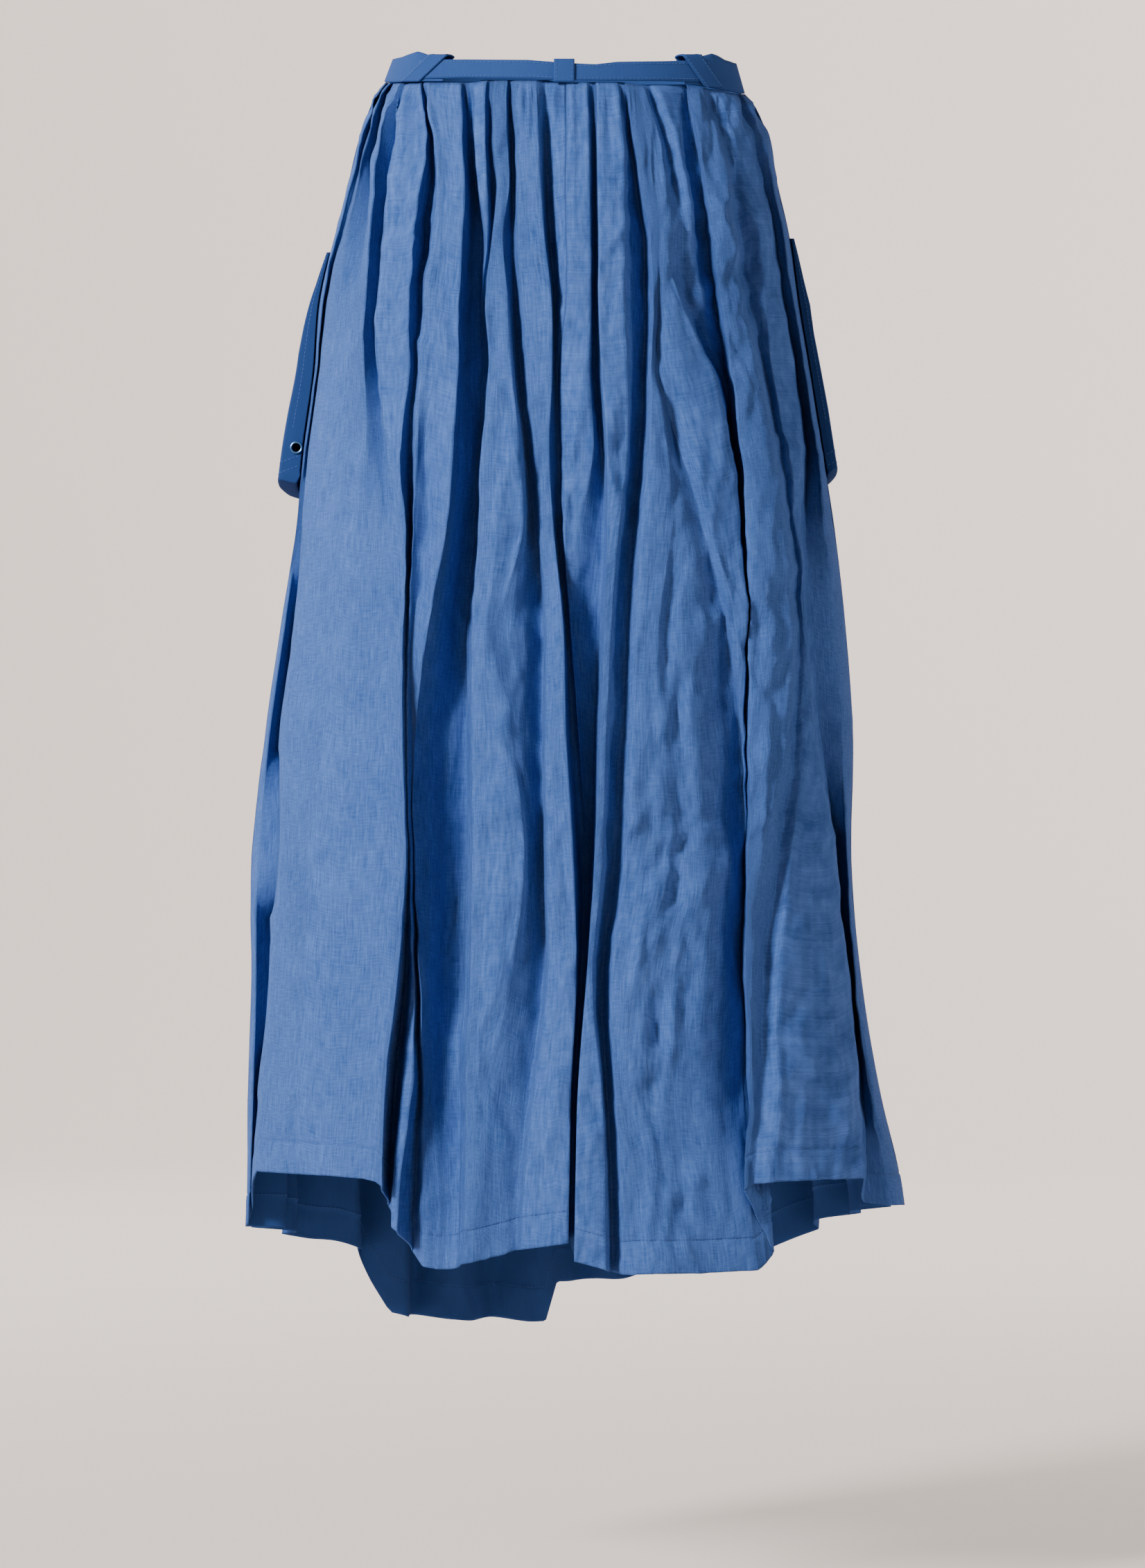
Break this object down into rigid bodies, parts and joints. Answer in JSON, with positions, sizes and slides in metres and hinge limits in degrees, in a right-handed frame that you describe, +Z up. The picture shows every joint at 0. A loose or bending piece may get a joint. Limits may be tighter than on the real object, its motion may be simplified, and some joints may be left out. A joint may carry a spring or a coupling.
{
  "type": "worn maxi skirt",
  "caption": "Long gathered skirt in its worn form, with a waistband, a narrow back belt in loops, standing side pockets and an open hem.",
  "frame": {"origin": "middle of the waist, at the height of its gathered seam on the left side", "axes": "+Z up along the skirt's length; -Y towards the back of the skirt, the side in the picture; +X towards the wearer's right as seen from behind"},
  "size_m": [0.4742, 0.3692, 0.9334],
  "materials": {
    "linen": "matte slubby plain weave",
    "cotton": "smooth matte cotton twill",
    "eyelet_metal": "satin blue enamel"
  },
  "bodies": {
    "root": {"back_left": "linen", "back_right": "linen", "front": "cotton", "back_binding": "cotton", "waistband": "cotton", "belt": "cotton", "loop_left": "cotton", "loop_centre": "cotton", "loop_right": "cotton", "pocket_left": "cotton", "pocket_right": "cotton", "eyelet": "eyelet_metal"}
  },
  "joints": []
}
